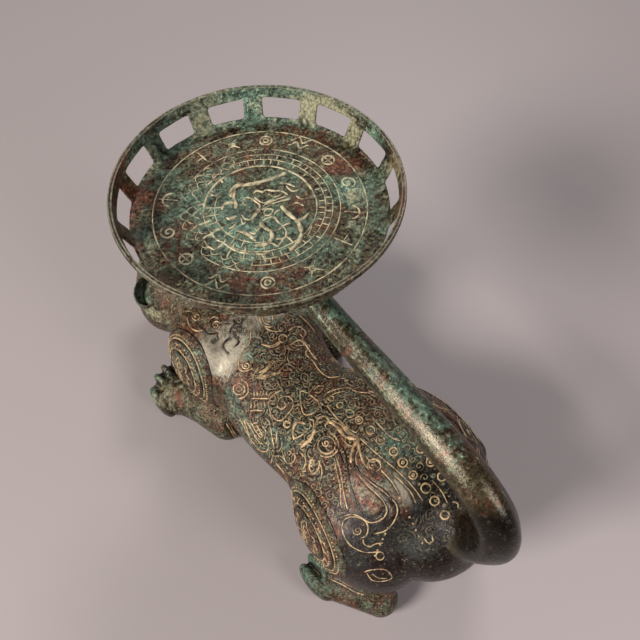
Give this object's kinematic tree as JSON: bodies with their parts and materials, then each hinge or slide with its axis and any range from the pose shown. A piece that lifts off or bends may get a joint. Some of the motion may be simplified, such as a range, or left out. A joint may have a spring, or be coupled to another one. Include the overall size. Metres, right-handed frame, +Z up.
{
  "type": "beast tray",
  "caption": "Round openwork tray carried on the bent-back tail of a crouching bronze beast, with raised shields on shoulders and haunches.",
  "frame": {"origin": "on the ground under the middle of the object's bounding box", "axes": "+Z up, the beast faces -Y, its left side is +X"},
  "size_m": [0.2162, 0.44, 0.2536],
  "materials": {
    "bronze_dark": "patinated, dark olive with green in the hollows",
    "bronze_green": "patinated, mottled verdigris",
    "bronze_rust": "patinated, red-brown under green",
    "bronze_worn": "rubbed smooth, dull sheen"
  },
  "bodies": {
    "root": {"trunk": "bronze_dark", "head": "bronze_green", "ear_left": "bronze_green", "ear_right": "bronze_green", "foreleg_left": "bronze_green", "foreleg_right": "bronze_green", "hind_leg_left": "bronze_worn", "hind_leg_right": "bronze_worn", "shoulder_shield_left": "bronze_rust", "shoulder_shield_right": "bronze_rust", "haunch_shield_left": "bronze_rust", "haunch_shield_right": "bronze_rust", "tail": "bronze_worn", "tail_socket": "bronze_dark", "tray_floor": "bronze_rust", "tray_rim": "bronze_green"}
  },
  "joints": []
}
